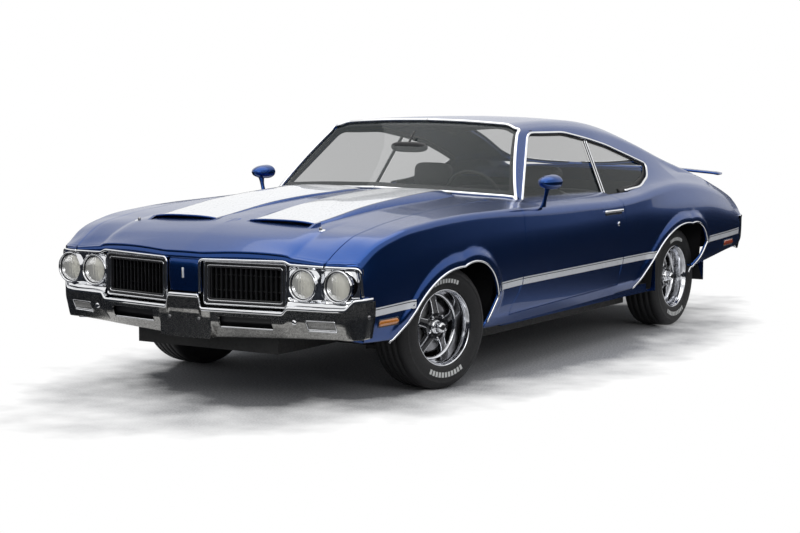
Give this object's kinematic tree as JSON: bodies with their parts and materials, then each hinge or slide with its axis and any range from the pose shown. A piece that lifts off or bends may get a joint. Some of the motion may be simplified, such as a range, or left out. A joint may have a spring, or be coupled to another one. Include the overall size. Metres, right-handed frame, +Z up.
{
  "type": "two-door hardtop muscle car",
  "caption": "Full-size two-door fastback hardtop car with ram-air hood, opening doors, hood and deck lid, steered front wheels and free-rolling wheels.",
  "frame": {"origin": "on the ground, below the middle of the car's overall box", "axes": "+X the car's left, +Y the car's rear, +Z up; the nose points to -Y"},
  "size_m": [2.0312, 5.161, 1.341],
  "materials": {
    "body_paint": "metallic blue gloss paint",
    "glass": "clear glass",
    "chrome": "bright chrome",
    "black_trim": "black satin",
    "lamp_glass": "fluted lamp glass",
    "amber_lens": "amber lens",
    "red_lens": "red lens",
    "chassis_steel": "black chassis paint",
    "engine_iron": "painted iron",
    "interior_vinyl": "black vinyl",
    "wheel_metal": "cast and polished metal",
    "tyre_rubber": "black rubber"
  },
  "bodies": {
    "body": {"roof": "body_paint", "windshield": "glass", "rear_window": "glass", "quarter_windows": "glass", "fender_left": "body_paint", "fender_right": "body_paint", "quarter_left": "body_paint", "quarter_right": "body_paint", "cowl": "body_paint", "tail_panel": "body_paint", "front_bumper": "chrome", "rear_bumper": "chrome", "grilles": "black_trim", "headlamp_bezels": "chrome", "headlamps": "lamp_glass", "marker_lamps": "amber_lens", "tail_lamps": "red_lens", "floor_pan": "black_trim", "inner_fenders": "black_trim", "chassis_frame": "chassis_steel", "engine": "engine_iron", "rear_axle": "chassis_steel", "front_suspension": "chassis_steel", "fuel_tank": "chassis_steel", "exhaust": "chassis_steel", "dashboard": "interior_vinyl", "front_seats": "interior_vinyl", "rear_seat": "interior_vinyl"},
    "hood_lid": {"hood": "body_paint"},
    "deck": {"deck_lid": "body_paint", "rear_wing": "body_paint"},
    "door_l": {"door_left": "body_paint", "door_glass_left": "glass", "mirror_left": "body_paint"},
    "door_r": {"door_right": "body_paint", "door_glass_right": "glass", "mirror_right": "body_paint"},
    "knuckle_l": {"knuckle_left": "chassis_steel"},
    "knuckle_r": {"knuckle_right": "chassis_steel"},
    "wheel_fl": {"wheel_front_left": "wheel_metal", "tyre_front_left": "tyre_rubber"},
    "wheel_fr": {"wheel_front_right": "wheel_metal", "tyre_front_right": "tyre_rubber"},
    "wheel_rl": {"wheel_rear_left": "wheel_metal", "tyre_rear_left": "tyre_rubber"},
    "wheel_rr": {"wheel_rear_right": "wheel_metal", "tyre_rear_right": "tyre_rubber"},
    "hand_wheel": {"steering_wheel": "black_trim"}
  },
  "joints": [
    {"name": "hood_open", "type": "hinge", "parent": "body", "child": "hood_lid", "pos_m": [0, -0.9075, 0.958], "axis": [-1, 0, 0], "range_deg": [0, 50]},
    {"name": "deck_open", "type": "hinge", "parent": "body", "child": "deck", "pos_m": [0, 1.6535, 0.996], "axis": [1, 0, 0], "range_deg": [0, 60]},
    {"name": "door_left_open", "type": "hinge", "parent": "body", "child": "door_l", "pos_m": [0.949, -0.9605, 0.6], "axis": [0, 0, -1], "range_deg": [0, 65]},
    {"name": "door_right_open", "type": "hinge", "parent": "body", "child": "door_r", "pos_m": [-0.949, -0.9605, 0.6], "axis": [0, 0, 1], "range_deg": [0, 65]},
    {"name": "steer_left", "type": "hinge", "parent": "body", "child": "knuckle_l", "pos_m": [0.69, -1.5105, 0.315], "axis": [0, 0, 1], "range_deg": [-20, 44]},
    {"name": "steer_right", "type": "hinge", "parent": "body", "child": "knuckle_r", "pos_m": [-0.69, -1.5105, 0.315], "axis": [0, 0, 1], "range_deg": [-20, 44]},
    {"name": "hand_wheel_turn", "type": "hinge", "parent": "body", "child": "hand_wheel", "pos_m": [0.38, -0.4005, 0.88], "axis": [0, 0.9135, 0.4067], "range_deg": [-324, 708]},
    {"name": "roll_front_left", "type": "hinge", "parent": "knuckle_l", "child": "wheel_fl", "pos_m": [0.7516, -1.5236, 0.315], "axis": [0.9781, -0.2079, 0], "continuous": true},
    {"name": "roll_front_right", "type": "hinge", "parent": "knuckle_r", "child": "wheel_fr", "pos_m": [-0.7516, -1.4974, 0.315], "axis": [0.9781, -0.2079, 0], "continuous": true},
    {"name": "roll_rear_left", "type": "hinge", "parent": "body", "child": "wheel_rl", "pos_m": [0.753, 1.3345, 0.315], "axis": [1, 0, 0], "continuous": true},
    {"name": "roll_rear_right", "type": "hinge", "parent": "body", "child": "wheel_rr", "pos_m": [-0.753, 1.3345, 0.315], "axis": [1, 0, 0], "continuous": true}
  ],
  "couplings": [
    {"joint": "steer_right", "follows": "steer_left", "ratio": 1},
    {"joint": "hand_wheel_turn", "follows": "steer_left", "ratio": 16}
  ]
}
